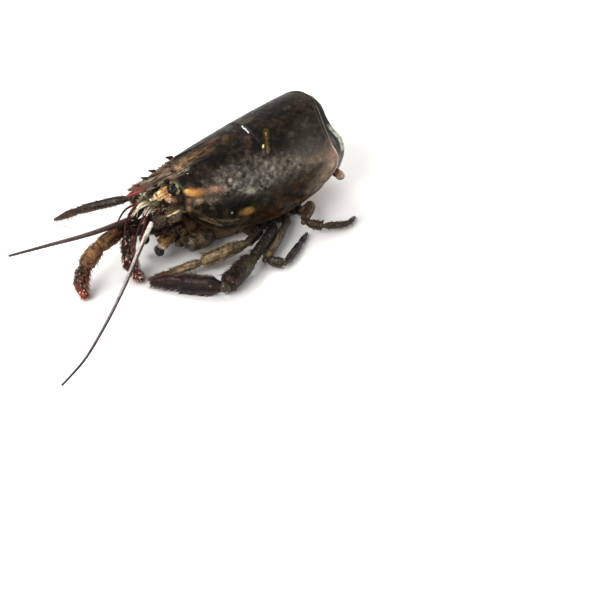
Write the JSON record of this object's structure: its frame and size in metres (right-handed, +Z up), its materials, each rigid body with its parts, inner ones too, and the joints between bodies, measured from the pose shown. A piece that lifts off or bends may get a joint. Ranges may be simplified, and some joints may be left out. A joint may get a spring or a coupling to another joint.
{
  "type": "cut lobster head section",
  "caption": "Head section of a raw, cut-up lobster: dark shell with eyes, feelers, mouth limbs and walking legs, open to the flesh behind.",
  "frame": {"origin": "on the table, under the middle of the carapace, at the centre of the belly's flat patch", "axes": "-Y towards the rostrum, +Y towards the cut behind, +X the animal's left side, +Z up"},
  "size_m": [0.1207, 0.2219, 0.0617],
  "materials": {
    "shell_black_brown": "wet near-black shell with brown, olive and orange mottling",
    "ring_olive_black": "wet olive-black shell, paler along its edge",
    "raw_flesh": "moist raw flesh, cream to pinkish",
    "belly_brown": "smooth brown shell",
    "face_brown_cream": "smooth brown and cream shell",
    "mouth_brown": "brown, bristly",
    "stalk_orange_cream": "smooth orange to cream skin",
    "eye_black": "glossy black",
    "feeler_stalk_olive": "olive shell with yellow points",
    "whip_purple_brown": "ringed purple-brown shell",
    "antennule_red": "smooth red shell",
    "leg_dark": "dark purple-brown shell with pale bristles",
    "leg_olive": "olive shell with red-brown tips",
    "mouth_limb_red_brown": "red-brown shell with bristles",
    "stub_grey_brown": "grey-brown shell"
  },
  "bodies": {
    "root": {"carapace": "shell_black_brown", "tail_ring": "ring_olive_black", "meat": "raw_flesh", "sternum": "belly_brown", "face": "face_brown_cream", "mouthparts": "mouth_brown", "eye_stalk_left": "stalk_orange_cream", "eye_left": "eye_black", "antenna_base_left": "feeler_stalk_olive", "antenna_scale_left": "feeler_stalk_olive", "antenna_whip_left": "whip_purple_brown", "antennule_left": "antennule_red", "maxilliped_left_merus": "mouth_limb_red_brown", "maxilliped_left_carpus": "mouth_limb_red_brown", "maxilliped_left_propodus": "mouth_limb_red_brown", "maxilliped_left_dactyl": "mouth_limb_red_brown", "leg_2_left_merus": "leg_olive", "leg_2_left_carpus": "leg_olive", "leg_2_left_hand": "leg_olive", "leg_3_left_merus": "leg_dark", "leg_3_left_carpus": "leg_dark", "leg_3_left_hand": "leg_dark", "leg_4_left_merus": "leg_dark", "leg_4_left_carpus": "leg_dark", "leg_4_left_hand": "leg_dark", "leg_5_left_merus": "leg_dark", "leg_5_left_carpus": "leg_dark", "leg_5_left_hand": "leg_dark", "claw_stub_left": "stub_grey_brown", "claw_stub_meat_left": "raw_flesh", "eye_stalk_right": "stalk_orange_cream", "eye_right": "eye_black", "antenna_base_right": "feeler_stalk_olive", "antenna_scale_right": "feeler_stalk_olive", "antenna_whip_right": "whip_purple_brown", "antennule_right": "antennule_red", "maxilliped_right_merus": "mouth_limb_red_brown", "maxilliped_right_carpus": "mouth_limb_red_brown", "maxilliped_right_propodus": "mouth_limb_red_brown", "maxilliped_right_dactyl": "mouth_limb_red_brown", "leg_2_right_merus": "leg_olive", "leg_2_right_carpus": "leg_olive", "leg_2_right_hand": "leg_olive", "leg_3_right_merus": "leg_dark", "leg_3_right_carpus": "leg_dark", "leg_3_right_hand": "leg_dark", "leg_4_right_merus": "leg_dark", "leg_4_right_carpus": "leg_dark", "leg_4_right_hand": "leg_dark", "leg_5_right_merus": "leg_dark", "leg_5_right_carpus": "leg_dark", "leg_5_right_hand": "leg_dark", "claw_stub_right": "stub_grey_brown", "claw_stub_meat_right": "raw_flesh"}
  },
  "joints": []
}
